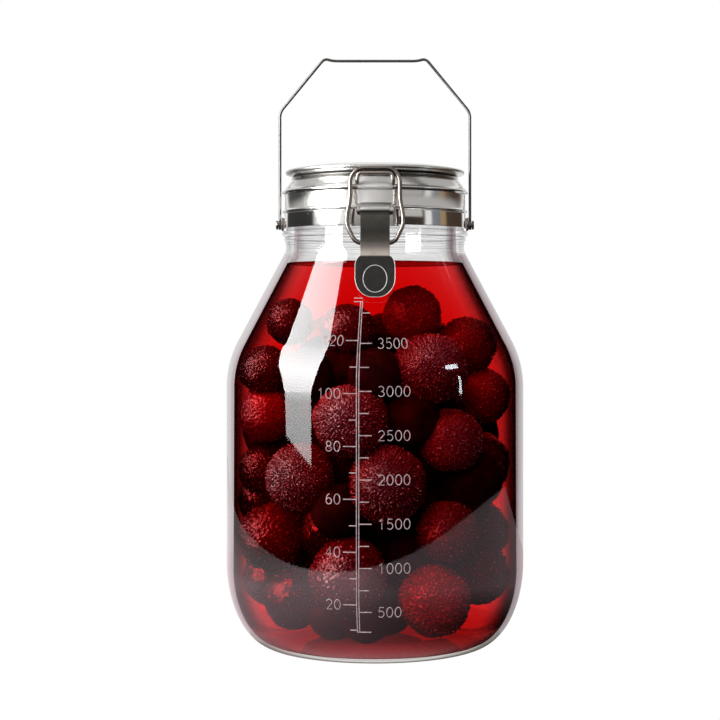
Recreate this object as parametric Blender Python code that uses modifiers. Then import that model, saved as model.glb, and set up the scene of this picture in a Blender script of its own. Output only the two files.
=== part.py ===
# Clip top jar, about four litres, filled with whole red fruit.
# Metres, +Z up. The origin is the middle of the foot. The clip is at the front, on the -Y side.
import math
import random

import bmesh
import bpy
from mathutils import Vector

MM = 0.001
GAP = 0.3 * MM                 # clearance between pieces that touch
TURN_STEPS = 48

# Glass
BODY_R = 86.0 * MM
WALL = 4.5 * MM
FOOT_R = 58.0 * MM
FOOT_RISE = 49.0 * MM          # height where the foot's curve meets the straight side
FOOT_RING = 6.0 * MM           # width of the flat that the jar stands on
PUNT = 1.5 * MM
FLOOR = 5.5 * MM
SIDE_TOP = 149.2 * MM          # height where the straight side ends
SHOULDER_R = 58.0 * MM         # radius of the arc from side to shoulder
SHOULDER_TILT = math.radians(28.0)
THROAT_R = 51.7 * MM
FILLET_R = 8.5 * MM
FINISH_R = 50.6 * MM           # glass under the lid ring
BORE_R = 46.5 * MM
RIM_TOP = 264.0 * MM
BEAD_R = 54.0 * MM
BEAD_Z = 237.9 * MM

# Metal round the neck
SHEET = 0.9 * MM
BAND_Z = (241.0 * MM, 249.6 * MM)
BAND_R = 52.8 * MM             # outside
RING_Z = 250.0 * MM
RING_R = 52.5 * MM             # outside of the lid ring's straight wall
RING_BEAD_R = 53.9 * MM
RING_BEAD_Z = (261.4 * MM, 262.2 * MM)
RING_FLARE_R = 53.5 * MM       # rolled lower edge
CONE_TOP_Z = 269.0 * MM
CONE_TOP_R = 47.9 * MM

# Lid and gasket
LID_R = 52.0 * MM
LID_NOSE_Z = 273.4 * MM
LID_UNDER_Z = 271.2 * MM
LID_TOP_Z = 276.6 * MM
PLUG_R = 43.2 * MM
PLUG_Z = 266.0 * MM
GASKET_R = (43.6 * MM, 47.2 * MM)
GASKET_Z = (264.4 * MM, 270.9 * MM)

# Carrying handle, a bent wire
HANDLE_WIRE_R = 0.8 * MM
HANDLE_PIVOT_Z = 243.3 * MM
HANDLE_X = 55.25 * MM
HANDLE_BEND_Z = 308.9 * MM
HANDLE_CORNER = (29.5 * MM, 340.2 * MM)
HANDLE_GRIP_Z = 338.8 * MM
EYE_R = 2.7 * MM
RIVET_R = 1.2 * MM
RIVET_HEAD = (2.6 * MM, 1.2 * MM)    # radius, thickness
RIVET_PLATE_HALF = 4.0 * MM
RIVET_PLATE_Z = (239.9 * MM, 247.4 * MM)

# Clip
LEVER_AXIS = Vector((0.0, -57.6 * MM, 248.4 * MM))
LEVER_HALF = 8.05 * MM
PADDLE_HALF = 10.9 * MM
LEVER_KNEE = (-63.4 * MM, 225.4 * MM)
PADDLE_END = (-69.4 * MM, 200.7 * MM)
LEVER_SHEET = 1.4 * MM
BARREL_R = 2.1 * MM
PIN_R = 1.0 * MM
LOOP_AXIS = Vector((0.0, -60.1 * MM, 230.4 * MM))
LOOP_BAR = (-55.3 * MM, 271.9 * MM)
LOOP_WIRE_R = 1.2 * MM
LOOP_HALF_MM = (               # (x, height) of the right half's corners, from the lower bar to the upper
    (10.6, 230.4), (15.6, 240.5), (15.4, 246.0), (13.7, 254.5), (13.7, 267.0), (9.2, 271.9),
)
LOOP_EAR_X = (4.2 * MM, 5.8 * MM)
LOOP_EAR_WALL = 1.4 * MM
BRACKET_SPREAD = math.radians(14.0)
HOOK_HALF = 10.0 * MM
HOOK_SHEET = 1.2 * MM
HOOK_LIP_Z = 264.4 * MM
TONGUE_HALF = 9.6 * MM
TONGUE_Z = (253.0 * MM, 262.8 * MM)
HOOK_TOP_Z = LOOP_BAR[1] - LOOP_WIRE_R - GAP

# Hinge at the back of the lid
HINGE_AXIS = (56.4 * MM, 250.6 * MM)
HINGE_HALF = 9.0 * MM
HINGE_SPREAD = math.radians(10.0)
HINGE_TOP_Z = RING_Z + 10.0 * MM
KNUCKLE_R = 2.4 * MM
KNUCKLE_SPLIT = 4.4 * MM       # half width of the lid's knuckle

# Whole fruit against the glass: degrees round from the front, distance from the axis, height, radius (mm)
FRONT_FRUIT = (
    (-82, 63.5, 134, 16.5), (-44, 60, 100, 20), (-13, 59, 133, 21), (33, 56, 161, 21),
    (7, 57, 97.5, 23), (44, 61, 121, 19), (80, 63.5, 144.5, 16.5), (41, 61.5, 70.5, 18.5),
    (-82, 59.5, 63, 21), (-15, 56.5, 46, 22.5), (37, 55, 32, 21), (-85, 49.5, 187, 14.5),
    (52, 27, 191, 17), (80, 54, 173.5, 17.5), (-23, 39, 182.5, 16), (-80, 64, 159, 15.5),
    (-88, 64, 101, 16), (-50, 34, 68, 18), (-70, 49, 29, 18), (86, 60.5, 41, 18.5),
    (39, 20, 143, 18), (88, 61.5, 105, 18),
)
BACK_ROWS_MM = (29, 66, 102, 138, 172)
BACK_ROW_R_MM = (49, 59, 60, 59, 44)
BACK_FIRST_TURN = 132          # degrees, the first of three in a row
BACK_TURN_STEP = 46
BACK_SIZE_MM = 19.0
CORE_R = 48.0 * MM
CORE_Z = (12.0 * MM, 176.0 * MM)


def clear_scene():
    for thing in list(bpy.data.objects):
        bpy.data.objects.remove(thing, do_unlink=True)


def collection(name):
    group = bpy.data.collections.new(name)
    bpy.context.scene.collection.children.link(group)
    return group


def material(name, colour, roughness, metallic=0.0, transmission=0.0):
    mat = bpy.data.materials.new(name)
    mat.use_nodes = True
    shader = mat.node_tree.nodes["Principled BSDF"]
    shader.inputs["Base Color"].default_value = (*colour, 1.0)
    shader.inputs["Roughness"].default_value = roughness
    shader.inputs["Metallic"].default_value = metallic
    shader.inputs["Transmission Weight"].default_value = transmission
    return mat


def add_object(name, mesh, group, mat=None):
    obj = bpy.data.objects.new(name, mesh)
    group.objects.link(obj)
    if mat:
        mesh.materials.append(mat)
    return obj


def smooth(mesh, angle=35.0):
    mesh.shade_smooth()
    mesh.set_sharp_from_angle(angle=math.radians(angle))


def take(obj, group, name=None):
    # Moves an object made by an operator into a collection.
    for old in list(obj.users_collection):
        old.objects.unlink(obj)
    group.objects.link(obj)
    if name:
        obj.name = name
    return obj


def as_cutter(obj):
    obj.hide_render = True
    obj.display_type = "WIRE"
    return obj


def modify(obj, other, operation):
    boolean = obj.modifiers.new(operation.title(), "BOOLEAN")
    boolean.operation = operation
    boolean.solver = "EXACT"
    boolean.object = other


def turned(name, profile, group, mat, closed):
    # A profile of (radius, height) pairs that runs down its outer side, turned about Z.
    mesh = bpy.data.meshes.new(name)
    edges = [(i, i + 1) for i in range(len(profile) - 1)]
    if closed:
        edges.append((len(profile) - 1, 0))
    mesh.from_pydata([(r, 0.0, z) for r, z in profile], edges, [])
    obj = add_object(name, mesh, group, mat)
    screw = obj.modifiers.new("Screw", "SCREW")
    screw.axis = "Z"
    screw.angle = math.tau
    screw.steps = TURN_STEPS
    screw.render_steps = TURN_STEPS
    screw.use_merge_vertices = True
    screw.merge_threshold = 0.00001
    return obj


def arc(centre, radius, start, end, count):
    # Points (radius, height) on an arc, angles in radians from the outward direction.
    points = []
    for i in range(count + 1):
        angle = start + (end - start) * i / count
        points.append((centre[0] + radius * math.cos(angle), centre[1] + radius * math.sin(angle)))
    return points


def foot_curve(foot_r, base_z, side_r, count):
    # A quarter ellipse from the straight side down to the foot.
    points = []
    for i in range(count + 1):
        angle = math.pi / 2 * i / count
        radius = foot_r + (side_r - foot_r) * math.cos(angle)
        points.append((radius, FOOT_RISE - (FOOT_RISE - base_z) * math.sin(angle)))
    return points


def shoulder_curve(offset, count):
    # From the throat down the fillet and the straight cone to the straight side.
    big_centre = (BODY_R - SHOULDER_R, SIDE_TOP)
    big = arc(big_centre, SHOULDER_R - offset, SHOULDER_TILT, 0.0, count)
    reach = THROAT_R + FILLET_R * (1.0 - math.cos(SHOULDER_TILT))
    outer_end = (BODY_R - SHOULDER_R * (1.0 - math.cos(SHOULDER_TILT)),
                 SIDE_TOP + SHOULDER_R * math.sin(SHOULDER_TILT))
    rise = (outer_end[0] - reach) / math.tan(SHOULDER_TILT)
    fillet_centre = (THROAT_R + FILLET_R, outer_end[1] + rise + FILLET_R * math.sin(SHOULDER_TILT))
    fillet = arc(fillet_centre, FILLET_R + offset, math.pi, math.pi + SHOULDER_TILT, 2)
    return fillet + big


def glass_jar(group, mat):
    bead = arc((BEAD_R - 1.5 * MM, BEAD_Z), 1.5 * MM, math.radians(75), math.radians(-75), 4)
    ring = arc((THROAT_R, BEAD_Z - 3.1 * MM), 1.1 * MM, math.radians(60), math.radians(-60), 2)
    step_r = BAND_R - SHEET - GAP
    outside = [
        (BORE_R + 2.0 * MM, RIM_TOP), (FINISH_R - 0.5 * MM, RIM_TOP - 0.5 * MM),
        (FINISH_R, RIM_TOP - 1.8 * MM), (FINISH_R, BAND_Z[1] + 0.2 * MM),
        (step_r, BAND_Z[1] - 0.4 * MM), (step_r, BEAD_Z + 1.5 * MM),
    ]
    outside += bead + ring + shoulder_curve(0.0, 5)
    outside += foot_curve(FOOT_R, 0.0, BODY_R, 7)
    outside += [(FOOT_R - FOOT_RING, 0.0), (FOOT_R - 2 * FOOT_RING, PUNT), (0.0, PUNT)]
    inside = shoulder_curve(WALL, 4)
    inside = [(min(r, BODY_R - WALL), z) for r, z in inside]
    inside += foot_curve(FOOT_R - WALL, FLOOR, BODY_R - WALL, 6)
    inside = [(BORE_R, RIM_TOP - 1.6 * MM)] + inside + [(0.0, FLOOR + PUNT)]
    return turned("glass_jar", inside[::-1] + outside, group, mat, closed=False)


def neck_band(group, mat):
    low, high = BAND_Z
    inner = BAND_R - SHEET
    lip = 0.25 * MM
    profile = [(inner, high), (BAND_R - lip, high), (BAND_R, high - lip), (BAND_R, low + lip),
               (BAND_R - lip, low), (inner, low)]
    return turned("neck_band", profile, group, mat, closed=True)


def lid_ring(group, mat):
    inner = RING_R - SHEET
    low, high = RING_BEAD_Z
    outside = [
        (CONE_TOP_R, CONE_TOP_Z), (RING_BEAD_R - 0.9 * MM, high + 0.8 * MM), (RING_BEAD_R, high),
        (RING_BEAD_R, low), (RING_R, low - 0.8 * MM), (RING_R, RING_Z + 2.0 * MM),
        (RING_FLARE_R, RING_Z + 1.2 * MM), (RING_FLARE_R, RING_Z + 0.3 * MM),
        (RING_R + 0.4 * MM, RING_Z),
    ]
    inside = [(inner, RING_Z + 0.6 * MM), (inner, high + 0.4 * MM), (CONE_TOP_R - 0.4 * MM, CONE_TOP_Z - 1.2 * MM)]
    return turned("lid_ring", outside + inside, group, mat, closed=True)


def lid_disc(group, mat):
    profile = [
        (0.0, LID_TOP_Z), (0.62 * LID_R, LID_TOP_Z), (LID_R - 2.6 * MM, LID_TOP_Z - 1.0 * MM),
        (LID_R - 0.5 * MM, LID_NOSE_Z + 0.9 * MM), (LID_R, LID_NOSE_Z), (LID_R - 0.7 * MM, LID_NOSE_Z - 0.9 * MM),
        (CONE_TOP_R, LID_UNDER_Z), (PLUG_R, LID_UNDER_Z), (PLUG_R, PLUG_Z), (0.0, PLUG_Z),
    ]
    return turned("lid_disc", profile, group, mat, closed=False)


def gasket(group, mat):
    (inner, outer), (low, high) = GASKET_R, GASKET_Z
    profile = [(inner, high), (outer, high), (outer, low), (inner, low)]
    return turned("gasket", profile, group, mat, closed=True)


def wire_mesh(name, points, radius, cyclic, group, mat):
    # A bent round wire as a mesh with closed ends.
    curve = bpy.data.curves.new(name, "CURVE")
    curve.dimensions = "3D"
    curve.bevel_depth = radius
    curve.bevel_resolution = 2
    curve.use_fill_caps = True
    spline = curve.splines.new("POLY")
    spline.points.add(len(points) - 1)
    for slot, point in zip(spline.points, points):
        slot.co = (*point, 1.0)
    spline.use_cyclic_u = cyclic
    bent = bpy.data.objects.new(name + "_path", curve)
    group.objects.link(bent)
    bpy.context.view_layer.update()
    found = bent.evaluated_get(bpy.context.evaluated_depsgraph_get())
    mesh = bpy.data.meshes.new_from_object(found)
    work = bmesh.new()
    work.from_mesh(mesh)
    bmesh.ops.remove_doubles(work, verts=work.verts, dist=0.00001)
    work.to_mesh(mesh)
    work.free()
    obj = add_object(name, mesh, group, mat)
    obj.matrix_world = bent.matrix_world
    bpy.data.objects.remove(bent, do_unlink=True)
    smooth(mesh)
    return obj


def rounded(points, radius, count, cyclic=False):
    # Rounds each corner of a chain of points with a short arc-like curve.
    result = []
    total = len(points)
    for i, corner in enumerate(points):
        if not cyclic and i in (0, total - 1):
            result.append(corner)
            continue
        before = (points[i - 1] - corner)
        after = (points[(i + 1) % total] - corner)
        start = corner + before.normalized() * min(radius, before.length * 0.45)
        end = corner + after.normalized() * min(radius, after.length * 0.45)
        for k in range(count + 1):
            t = k / count
            result.append(start * (1 - t) ** 2 + corner * 2 * t * (1 - t) + end * t ** 2)
    return result


def rod(name, radius, x_from, x_to, y, z, group, vertices=16):
    # A round bar along X.
    bpy.ops.mesh.primitive_cylinder_add(
        vertices=vertices, radius=radius, depth=x_to - x_from,
        location=((x_from + x_to) / 2, y, z), rotation=(0.0, math.pi / 2, 0.0))
    return take(bpy.context.object, group, name)


def box(name, low, high, group):
    work = bmesh.new()
    bmesh.ops.create_cube(work, size=1.0)
    size = Vector(high) - Vector(low)
    bmesh.ops.scale(work, vec=size, verts=work.verts)
    bmesh.ops.translate(work, vec=(Vector(high) + Vector(low)) / 2, verts=work.verts)
    mesh = bpy.data.meshes.new(name)
    work.to_mesh(mesh)
    work.free()
    return add_object(name, mesh, group)


def sheet(name, rows, thickness, group, mat):
    # A bent strip of sheet metal: each row gives (y, z, half width); the thickness is centred.
    across = (-1.0, -0.5, 0.0, 0.5, 1.0)
    verts = [(half * t, y, z) for y, z, half in rows for t in across]
    width = len(across)
    faces = []
    for i in range(len(rows) - 1):
        for j in range(width - 1):
            a = i * width + j
            faces.append((a, a + 1, a + 1 + width, a + width))
    mesh = bpy.data.meshes.new(name)
    mesh.from_pydata(verts, [], faces)
    obj = add_object(name, mesh, group, mat)
    solid = obj.modifiers.new("Solidify", "SOLIDIFY")
    solid.thickness = thickness
    solid.offset = 0.0
    solid.use_even_offset = True
    return obj


def curved_plate(name, inner, outer, half_angle, low, high, facing, group, mat):
    # A plate that follows the neck; facing is -1 for the front and +1 for the back.
    steps = 8
    work = bmesh.new()
    rings = []
    for i in range(steps + 1):
        angle = -half_angle + 2 * half_angle * i / steps
        side = Vector((math.sin(angle), facing * math.cos(angle), 0.0))
        corners = ((inner, low), (outer, low), (outer, high), (inner, high))
        rings.append([work.verts.new(side * r + Vector((0.0, 0.0, z))) for r, z in corners])
    for a, b in zip(rings, rings[1:]):
        for k in range(4):
            work.faces.new((a[k], a[(k + 1) % 4], b[(k + 1) % 4], b[k]))
    work.faces.new(rings[0])
    work.faces.new(rings[-1])
    bmesh.ops.recalc_face_normals(work, faces=work.faces)
    mesh = bpy.data.meshes.new(name)
    work.to_mesh(mesh)
    work.free()
    return add_object(name, mesh, group, mat)


def handle(group, cutters, mat):
    corner_x, corner_z = HANDLE_CORNER
    dip_x = corner_x - 5.0 * MM
    half = [
        Vector((HANDLE_X, 0.0, HANDLE_PIVOT_Z + EYE_R * 0.7)), Vector((HANDLE_X, 0.0, HANDLE_BEND_Z)),
        Vector((corner_x, 0.0, corner_z)), Vector((dip_x, 0.0, HANDLE_GRIP_Z)),
    ]
    mirrored = [Vector((-p.x, p.y, p.z)) for p in half]
    path = rounded(mirrored + half[::-1], 3.0 * MM, 3)
    bail = wire_mesh("handle", path, HANDLE_WIRE_R, False, group, mat)
    for side in (-1, 1):
        tag = "left" if side < 0 else "right"
        near, far = HANDLE_X - HANDLE_WIRE_R, HANDLE_X + HANDLE_WIRE_R
        low, high = sorted((side * near, side * far))
        eye = rod("eye_" + tag, EYE_R, low, high, 0.0, HANDLE_PIVOT_Z, cutters)
        bore = rod("eye_bore_" + tag, RIVET_R + GAP, low - MM, high + MM, 0.0, HANDLE_PIVOT_Z, cutters)
        modify(bail, as_cutter(eye), "UNION")
        modify(bail, as_cutter(bore), "DIFFERENCE")
    return bail


def handle_rivet(side, group, cutters, mat):
    tag = "left" if side < 0 else "right"
    plate_in = BAND_R + GAP
    plate_out = HANDLE_X - HANDLE_WIRE_R - GAP
    low, high = sorted((side * plate_in, side * plate_out))
    plate = box("handle_rivet_" + tag, (low, -RIVET_PLATE_HALF, RIVET_PLATE_Z[0]),
                (high, RIVET_PLATE_HALF, RIVET_PLATE_Z[1]), group)
    plate.data.materials.append(mat)
    head_in = HANDLE_X + HANDLE_WIRE_R + GAP
    head_out = head_in + RIVET_HEAD[1]
    middle = (plate_in + plate_out) / 2
    low, high = sorted((side * middle, side * (head_in + 0.2 * MM)))
    pin = rod("rivet_pin_" + tag, RIVET_R, low, high, 0.0, HANDLE_PIVOT_Z, cutters)
    low, high = sorted((side * head_in, side * head_out))
    head = rod("rivet_head_" + tag, RIVET_HEAD[0], low, high, 0.0, HANDLE_PIVOT_Z, cutters)
    round_off = head.modifiers.new("Bevel", "BEVEL")
    round_off.width = 0.5 * MM
    round_off.segments = 1
    modify(plate, as_cutter(pin), "UNION")
    modify(plate, as_cutter(head), "UNION")
    return plate


def lever_rows():
    # The lever's strip from the barrel down to the paddle's round end.
    top = (LEVER_AXIS.y - BARREL_R + LEVER_SHEET / 2, LEVER_AXIS.z)
    rows = [(*top, LEVER_HALF), (*LEVER_KNEE, LEVER_HALF)]

    def on_paddle(share):
        y = LEVER_KNEE[0] + (PADDLE_END[0] - LEVER_KNEE[0]) * share
        z = LEVER_KNEE[1] + (PADDLE_END[1] - LEVER_KNEE[1]) * share
        return y, z

    length = LEVER_KNEE[1] - PADDLE_END[1]
    corner = 4.0 * MM
    for angle in (30.0, 60.0, 90.0):
        turn = math.radians(angle)
        half = LEVER_HALF + (PADDLE_HALF - LEVER_HALF) * math.sin(turn)
        rows.append((*on_paddle(corner * (1 - math.cos(turn)) / length), half))
    end = 10.5 * MM
    flat = 1.5 * MM
    for angle in (0.0, 25.0, 45.0, 62.0, 76.0, 88.0):
        turn = math.radians(angle)
        half = flat + (PADDLE_HALF - flat) * math.cos(turn)
        rows.append((*on_paddle(1.0 - end * (1 - math.sin(turn)) / length), half))
    return rows


def clip_lever(group, cutters, mat):
    lever = sheet("clip_lever", lever_rows(), LEVER_SHEET, group, mat)
    barrel = rod("barrel", BARREL_R, -LEVER_HALF, LEVER_HALF, LEVER_AXIS.y, LEVER_AXIS.z, cutters)
    modify(lever, as_cutter(barrel), "UNION")
    ear_r = LOOP_WIRE_R + GAP + LOOP_EAR_WALL
    for side in (-1, 1):
        low, high = sorted(side * x for x in LOOP_EAR_X)
        ear = rod(f"loop_ear_{side}", ear_r, low, high, LOOP_AXIS.y, LOOP_AXIS.z, cutters)
        modify(lever, as_cutter(ear), "UNION")
    for name, radius, at in (("pin_bore", PIN_R + GAP, LEVER_AXIS), ("loop_bore", LOOP_WIRE_R + GAP, LOOP_AXIS)):
        bore = rod(name, radius, -12.0 * MM, 12.0 * MM, at.y, at.z, cutters)
        modify(lever, as_cutter(bore), "DIFFERENCE")
    return lever


def loop_point(x, height):
    # A point of the loop's plane, which leans in from the lever to the hook.
    bar_y, bar_z = LOOP_BAR
    share = (height - LOOP_AXIS.z) / (bar_z - LOOP_AXIS.z)
    return Vector((x, LOOP_AXIS.y + (bar_y - LOOP_AXIS.y) * share, height))


def clip_loop(group, mat):
    side = [loop_point(x * MM, z * MM) for x, z in LOOP_HALF_MM]
    other = [Vector((-p.x, p.y, p.z)) for p in side]
    path = rounded(side + other[::-1], 3.6 * MM, 2, cyclic=True)
    return wire_mesh("clip_loop", path, LOOP_WIRE_R, True, group, mat)


def clip_bracket(group, cutters, mat):
    low, high = BAND_Z
    inner = BAND_R + GAP
    plate = curved_plate("clip_bracket", inner, inner + SHEET, BRACKET_SPREAD, low - MM, high - 0.1 * MM,
                         -1, group, mat)
    ear_in = LEVER_HALF + 0.5 * MM
    ear_out = ear_in + 1.3 * MM
    for side in (-1, 1):
        left, right = sorted((side * ear_in, side * ear_out))
        ear = box(f"bracket_ear_{side}", (left, LEVER_AXIS.y, LEVER_AXIS.z - BARREL_R),
                  (right, -(inner - 0.3 * MM), LEVER_AXIS.z + 0.9 * MM), cutters)
        nose = rod(f"bracket_nose_{side}", BARREL_R, left, right, LEVER_AXIS.y, LEVER_AXIS.z, cutters)
        modify(plate, as_cutter(ear), "UNION")
        modify(plate, as_cutter(nose), "UNION")
    pin = rod("lever_pin", PIN_R, -ear_out - 0.4 * MM, ear_out + 0.4 * MM, LEVER_AXIS.y, LEVER_AXIS.z, cutters)
    modify(plate, as_cutter(pin), "UNION")
    return plate


def lid_hook(group, mat):
    # The tongue stands off the lid ring, and its round-cornered lip carries the loop's bar.
    foot_y = -(RING_BEAD_R + GAP + 0.6 * MM)
    lip_y = LOOP_BAR[0] - 0.3 * MM
    rows = [
        (foot_y, TONGUE_Z[0], TONGUE_HALF), (foot_y, TONGUE_Z[1], TONGUE_HALF), (lip_y, HOOK_LIP_Z, HOOK_HALF),
        (lip_y, HOOK_TOP_Z - 2.6 * MM, HOOK_HALF), (lip_y, HOOK_TOP_Z - 1.1 * MM, HOOK_HALF - 0.8 * MM),
        (lip_y, HOOK_TOP_Z - 0.1 * MM, HOOK_HALF - 3.6 * MM),
    ]
    return sheet("lid_hook", rows, HOOK_SHEET, group, mat)


def hinge(group, cutters, mat):
    y, z = HINGE_AXIS
    lower = curved_plate("hinge_lower", BAND_R + GAP, BAND_R + GAP + 1.5 * MM, HINGE_SPREAD,
                         BAND_Z[0] + 0.5 * MM, z - KNUCKLE_R - 0.4 * MM, 1, group, mat)
    upper = curved_plate("hinge_upper", RING_R + GAP, RING_R + GAP + 1.9 * MM, HINGE_SPREAD,
                         z + KNUCKLE_R + 0.4 * MM, HINGE_TOP_Z, 1, group, mat)
    split = KNUCKLE_SPLIT
    web_y = RING_R + GAP + 1.2 * MM
    places = [(lower, -HINGE_HALF, -split - GAP, -4.0 * MM, -MM), (lower, split + GAP, HINGE_HALF, -4.0 * MM, -MM),
              (upper, -split, split, MM, 4.0 * MM)]
    for i, (leaf, left, right, low, high) in enumerate(places):
        web = box(f"web_{i}", (left, web_y, z + low), (right, y + MM, z + high), cutters)
        modify(leaf, as_cutter(rod(f"knuckle_{i}", KNUCKLE_R, left, right, y, z, cutters)), "UNION")
        modify(leaf, as_cutter(web), "UNION")
    bore = rod("hinge_bore", PIN_R + GAP, -12.0 * MM, 12.0 * MM, y, z, cutters)
    for leaf in (lower, upper):
        modify(leaf, as_cutter(bore), "DIFFERENCE")
    pin = rod("hinge_pin", PIN_R, -HINGE_HALF - MM, HINGE_HALF + MM, y, z, group)
    pin.data.materials.append(mat)


def fruit_places():
    # Named fruit at the front, then rows round the back with seeded unevenness.
    places = [(math.radians(turn), r * MM, z * MM, size * MM) for turn, r, z, size in FRONT_FRUIT]
    draw = random.Random(7)
    for row, (height, distance) in enumerate(zip(BACK_ROWS_MM, BACK_ROW_R_MM)):
        for step in range(3):
            turn = math.radians(BACK_FIRST_TURN + BACK_TURN_STEP * step + (12 if row % 2 else -4))
            size = (BACK_SIZE_MM + draw.uniform(-2.0, 2.0)) * MM
            place = (turn, distance * MM, (height + draw.uniform(-3.0, 3.0)) * MM, size)
            places.append(place)
    return places


def keep_largest(mesh):
    # Fills hollows that the fruit seal between them, and drops loose scraps.
    work = bmesh.new()
    work.from_mesh(mesh)
    left = set(work.verts)
    islands = []
    while left:
        island = {left.pop()}
        edge_of = list(island)
        while edge_of:
            vert = edge_of.pop()
            for edge in vert.link_edges:
                other = edge.other_vert(vert)
                if other in left:
                    left.remove(other)
                    island.add(other)
                    edge_of.append(other)
        islands.append(island)
    islands.sort(key=len)
    for island in islands[:-1]:
        bmesh.ops.delete(work, geom=list(island), context="VERTS")
    work.to_mesh(mesh)
    work.free()


def fruit_heap(group, cutters, mat):
    # The fruit lie against the glass round a core that fills the middle.
    pieces = collection("fruit")
    for turn, distance, height, size in fruit_places():
        at = (distance * math.sin(turn), -distance * math.cos(turn), height)
        bpy.ops.mesh.primitive_ico_sphere_add(subdivisions=2, radius=size, location=at,
                                              rotation=(turn, height * 40.0, distance * 30.0))
        take(bpy.context.object, pieces)
    low, high = CORE_Z
    bpy.ops.mesh.primitive_cylinder_add(vertices=16, radius=CORE_R, depth=high - low, location=(0, 0, (low + high) / 2))
    core = take(bpy.context.object, cutters, "fruit_core")
    joined = core.modifiers.new("Union", "BOOLEAN")
    joined.operation = "UNION"
    joined.solver = "EXACT"
    joined.operand_type = "COLLECTION"
    joined.collection = pieces
    bpy.context.view_layer.update()
    found = core.evaluated_get(bpy.context.evaluated_depsgraph_get())
    mesh = bpy.data.meshes.new_from_object(found)
    mesh.transform(core.matrix_world)
    for thing in [core, *pieces.objects]:
        bpy.data.objects.remove(thing, do_unlink=True)
    keep_largest(mesh)
    mesh.materials.clear()
    smooth(mesh, 60.0)
    return add_object("fruit_heap", mesh, group, mat)


def main():
    clear_scene()
    jar = collection("clip_top_jar")
    cutters = collection("cutters")
    glass = material("clear_glass", (0.94, 0.96, 0.95), 0.02, transmission=1.0)
    steel = material("polished_steel", (0.72, 0.71, 0.69), 0.12, 1.0)
    satin = material("satin_steel", (0.70, 0.69, 0.68), 0.32, 1.0)
    dark = material("dark_steel", (0.13, 0.125, 0.12), 0.34, 1.0)
    rubber = material("rubber", (0.05, 0.05, 0.05), 0.7)
    fruit = material("fruit_skin", (0.30, 0.015, 0.03), 0.45)
    glass_jar(jar, glass)
    neck_band(jar, steel)
    lid_ring(jar, steel)
    lid_disc(jar, satin)
    gasket(jar, rubber)
    lid_hook(jar, steel)
    clip_bracket(jar, cutters, steel)
    hinge(jar, cutters, steel)
    for side in (-1, 1):
        handle_rivet(side, jar, cutters, steel)
    handle(jar, cutters, steel)
    clip_lever(jar, cutters, dark)
    clip_loop(jar, steel)
    fruit_heap(jar, cutters, fruit)


main()
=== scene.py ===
# Looks of the clip top jar: clear glass, red liquor with whole bumpy fruit, steel neck, lid, clip and handle.
# Metres, in the same frame as the solids: the jar stands at the origin and its clip faces -Y.
import math
import random

import bmesh
import bpy
import numpy as np
from mathutils import Euler, Matrix, Vector, kdtree, noise


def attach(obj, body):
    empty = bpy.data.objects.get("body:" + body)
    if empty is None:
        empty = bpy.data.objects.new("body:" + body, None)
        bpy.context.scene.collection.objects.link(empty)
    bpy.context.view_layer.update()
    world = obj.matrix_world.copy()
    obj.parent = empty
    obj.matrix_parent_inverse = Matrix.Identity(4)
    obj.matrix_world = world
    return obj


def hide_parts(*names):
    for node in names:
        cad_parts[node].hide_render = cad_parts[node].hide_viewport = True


MM = 0.001
GAP = 0.3 * MM
TOLERANCE = 0.01 * MM

# Glass, as in the solids
BODY_R = 86 * MM
WALL = 4.5 * MM
FOOT_R = 58 * MM
FOOT_RISE = 49 * MM
FOOT_RING = 6 * MM
PUNT = 1 * MM
FLOOR = 2.4 * MM  # thin, as the thick foot is hard to see in the picture
SIDE_TOP = 149.2 * MM
SHOULDER_R = 58 * MM
SHOULDER_DEGREES = 28
SHOULDER_TILT = math.radians(SHOULDER_DEGREES)
THROAT_R = 51.7 * MM
FILLET_R = 8.5 * MM
FINISH_R = 50.6 * MM
BORE_R = 46.5 * MM
RIM_TOP = 264 * MM
RIM_ROUND = 1.8 * MM
BEAD_R = 54 * MM
BEAD_Z = 237.9 * MM
NECK_LOW_Z = 224.5 * MM  # from here up the glass has rings
NECK_LINES_Z = (227 * MM, 241 * MM)
NECK_LINES_WANDER = 0.6 * MM
NECK_LINES_MM = (  # height, width and tone of the dark lines round the neck
    (228.8, 0.5, 0.86), (231.6, 0.5, 0.78), (232.9, 0.45, 0.72), (234.3, 0.4, 0.84), (236, 0.7, 0.56),
    (239.3, 0.6, 0.7),
)
FOOT_LINE_Z = 7 * MM
LOW_SHADE_Z = 75 * MM  # below this the glass is darker along its edges
SHADE_FADE = 50 * MM

# Steel round the neck
SHEET = 0.9 * MM
BAND_Z = (241 * MM, 249.6 * MM)
BAND_R = 52.8 * MM
BAND_EDGE = 0.35 * MM
RING_Z = 250 * MM
RING_R = 52.5 * MM
RING_BEAD_R = 53.9 * MM
RING_BEAD_Z = 261.8 * MM
RING_BEAD_ROUND = 0.85 * MM
CONE_TOP_Z = 270.4 * MM
CONE_TOP_R = 48.2 * MM

# Lid
LID_R = 52 * MM
LID_NOSE_Z = 273.4 * MM
LID_NOSE_ROUND = 1.25 * MM
LID_UNDER_Z = 271.2 * MM
LID_TOP_Z = 276.6 * MM
PLUG_R = 43.2 * MM
PLUG_Z = 266 * MM

# Handle
HANDLE_WIRE_R = 0.8 * MM
HANDLE_PIVOT_Z = 243.3 * MM
HANDLE_X = 55.25 * MM
HANDLE_BEND_Z = 308.9 * MM
HANDLE_CORNER = (29.5 * MM, 340.2 * MM)
HANDLE_GRIP_Z = 338.8 * MM
EYE_R = 2.7 * MM
RIVET_R = 1.2 * MM
RIVET_HEAD_R = 2.6 * MM
RIVET_PLATE = (8 * MM, 7.5 * MM)
RIVET_PLATE_Z = 243.65 * MM

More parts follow.
